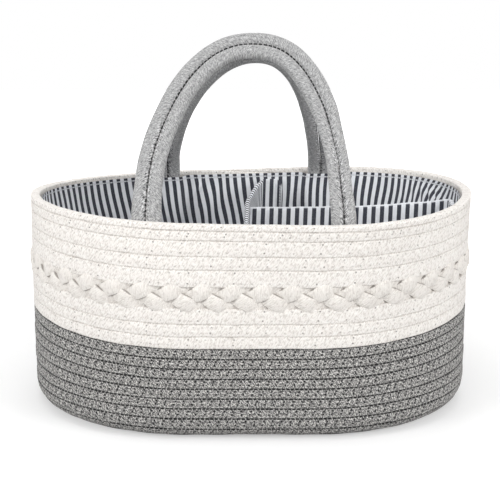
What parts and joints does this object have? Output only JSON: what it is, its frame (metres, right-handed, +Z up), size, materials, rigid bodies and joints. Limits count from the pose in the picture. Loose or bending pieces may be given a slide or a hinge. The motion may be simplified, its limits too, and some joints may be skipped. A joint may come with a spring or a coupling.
{
  "type": "diaper caddy",
  "caption": "Oval sewn-rope basket with a braided band, striped lining, folding rope carry handles and a lift-out T-shaped divider.",
  "frame": {"origin": "under the middle of the base, on the ground", "axes": "+Z up, +X along the basket's length towards the end that the long divider panel points to, -Y the front"},
  "size_m": [0.3804, 0.2611, 0.3207],
  "materials": {
    "grey_rope": "cotton rope in light and dark grey yarn, machine sewn in rows",
    "white_rope": "off-white cotton rope, machine sewn in rows",
    "white_braid": "three-strand flat braid of off-white cotton",
    "striped_cotton": "plain-weave cotton, narrow dark grey-blue and white stripes",
    "handle_rope": "light grey mottled cotton rope with a row of dark stitches",
    "paperboard": "plain grey-brown paperboard",
    "fastener_tape": "white hook-and-loop tape"
  },
  "bodies": {
    "basket": {"wall_coil_grey": "grey_rope", "wall_coil_white_lower": "white_rope", "wall_coil_white_upper": "white_rope", "base_coil": "grey_rope", "braided_band": "white_braid", "lining_wall": "striped_cotton", "lining_floor": "striped_cotton", "front_handle_tail_left": "handle_rope", "front_handle_tail_right": "handle_rope", "back_handle_tail_left": "handle_rope", "back_handle_tail_right": "handle_rope", "loop_patch_back": "fastener_tape", "loop_patch_front": "fastener_tape", "loop_patch_right": "fastener_tape"},
    "front_handle": {"front_handle_outer_rope": "handle_rope", "front_handle_inner_rope": "handle_rope"},
    "back_handle": {"back_handle_outer_rope": "handle_rope", "back_handle_inner_rope": "handle_rope"},
    "divider": {"divider_cross_cover": "striped_cotton", "divider_cross_board": "paperboard", "divider_long_cover": "striped_cotton", "divider_long_board": "paperboard", "hook_strip_back": "fastener_tape", "hook_strip_front": "fastener_tape", "hook_strip_right": "fastener_tape"}
  },
  "joints": [
    {"name": "front_handle_fold", "type": "hinge", "parent": "basket", "child": "front_handle", "pos_m": [-0.00405, -0.10818, 0.18511], "axis": [0.9975, -0.0708, 0], "range_deg": [0, 126]},
    {"name": "back_handle_fold", "type": "hinge", "parent": "basket", "child": "back_handle", "pos_m": [-0.00359, 0.10821, 0.18508], "axis": [-0.9885, -0.1511, 0], "range_deg": [0, 130]},
    {"name": "divider_lift", "type": "slide", "parent": "basket", "child": "divider", "axis": [0, 0, 1], "range_m": [0, 0.11]}
  ]
}
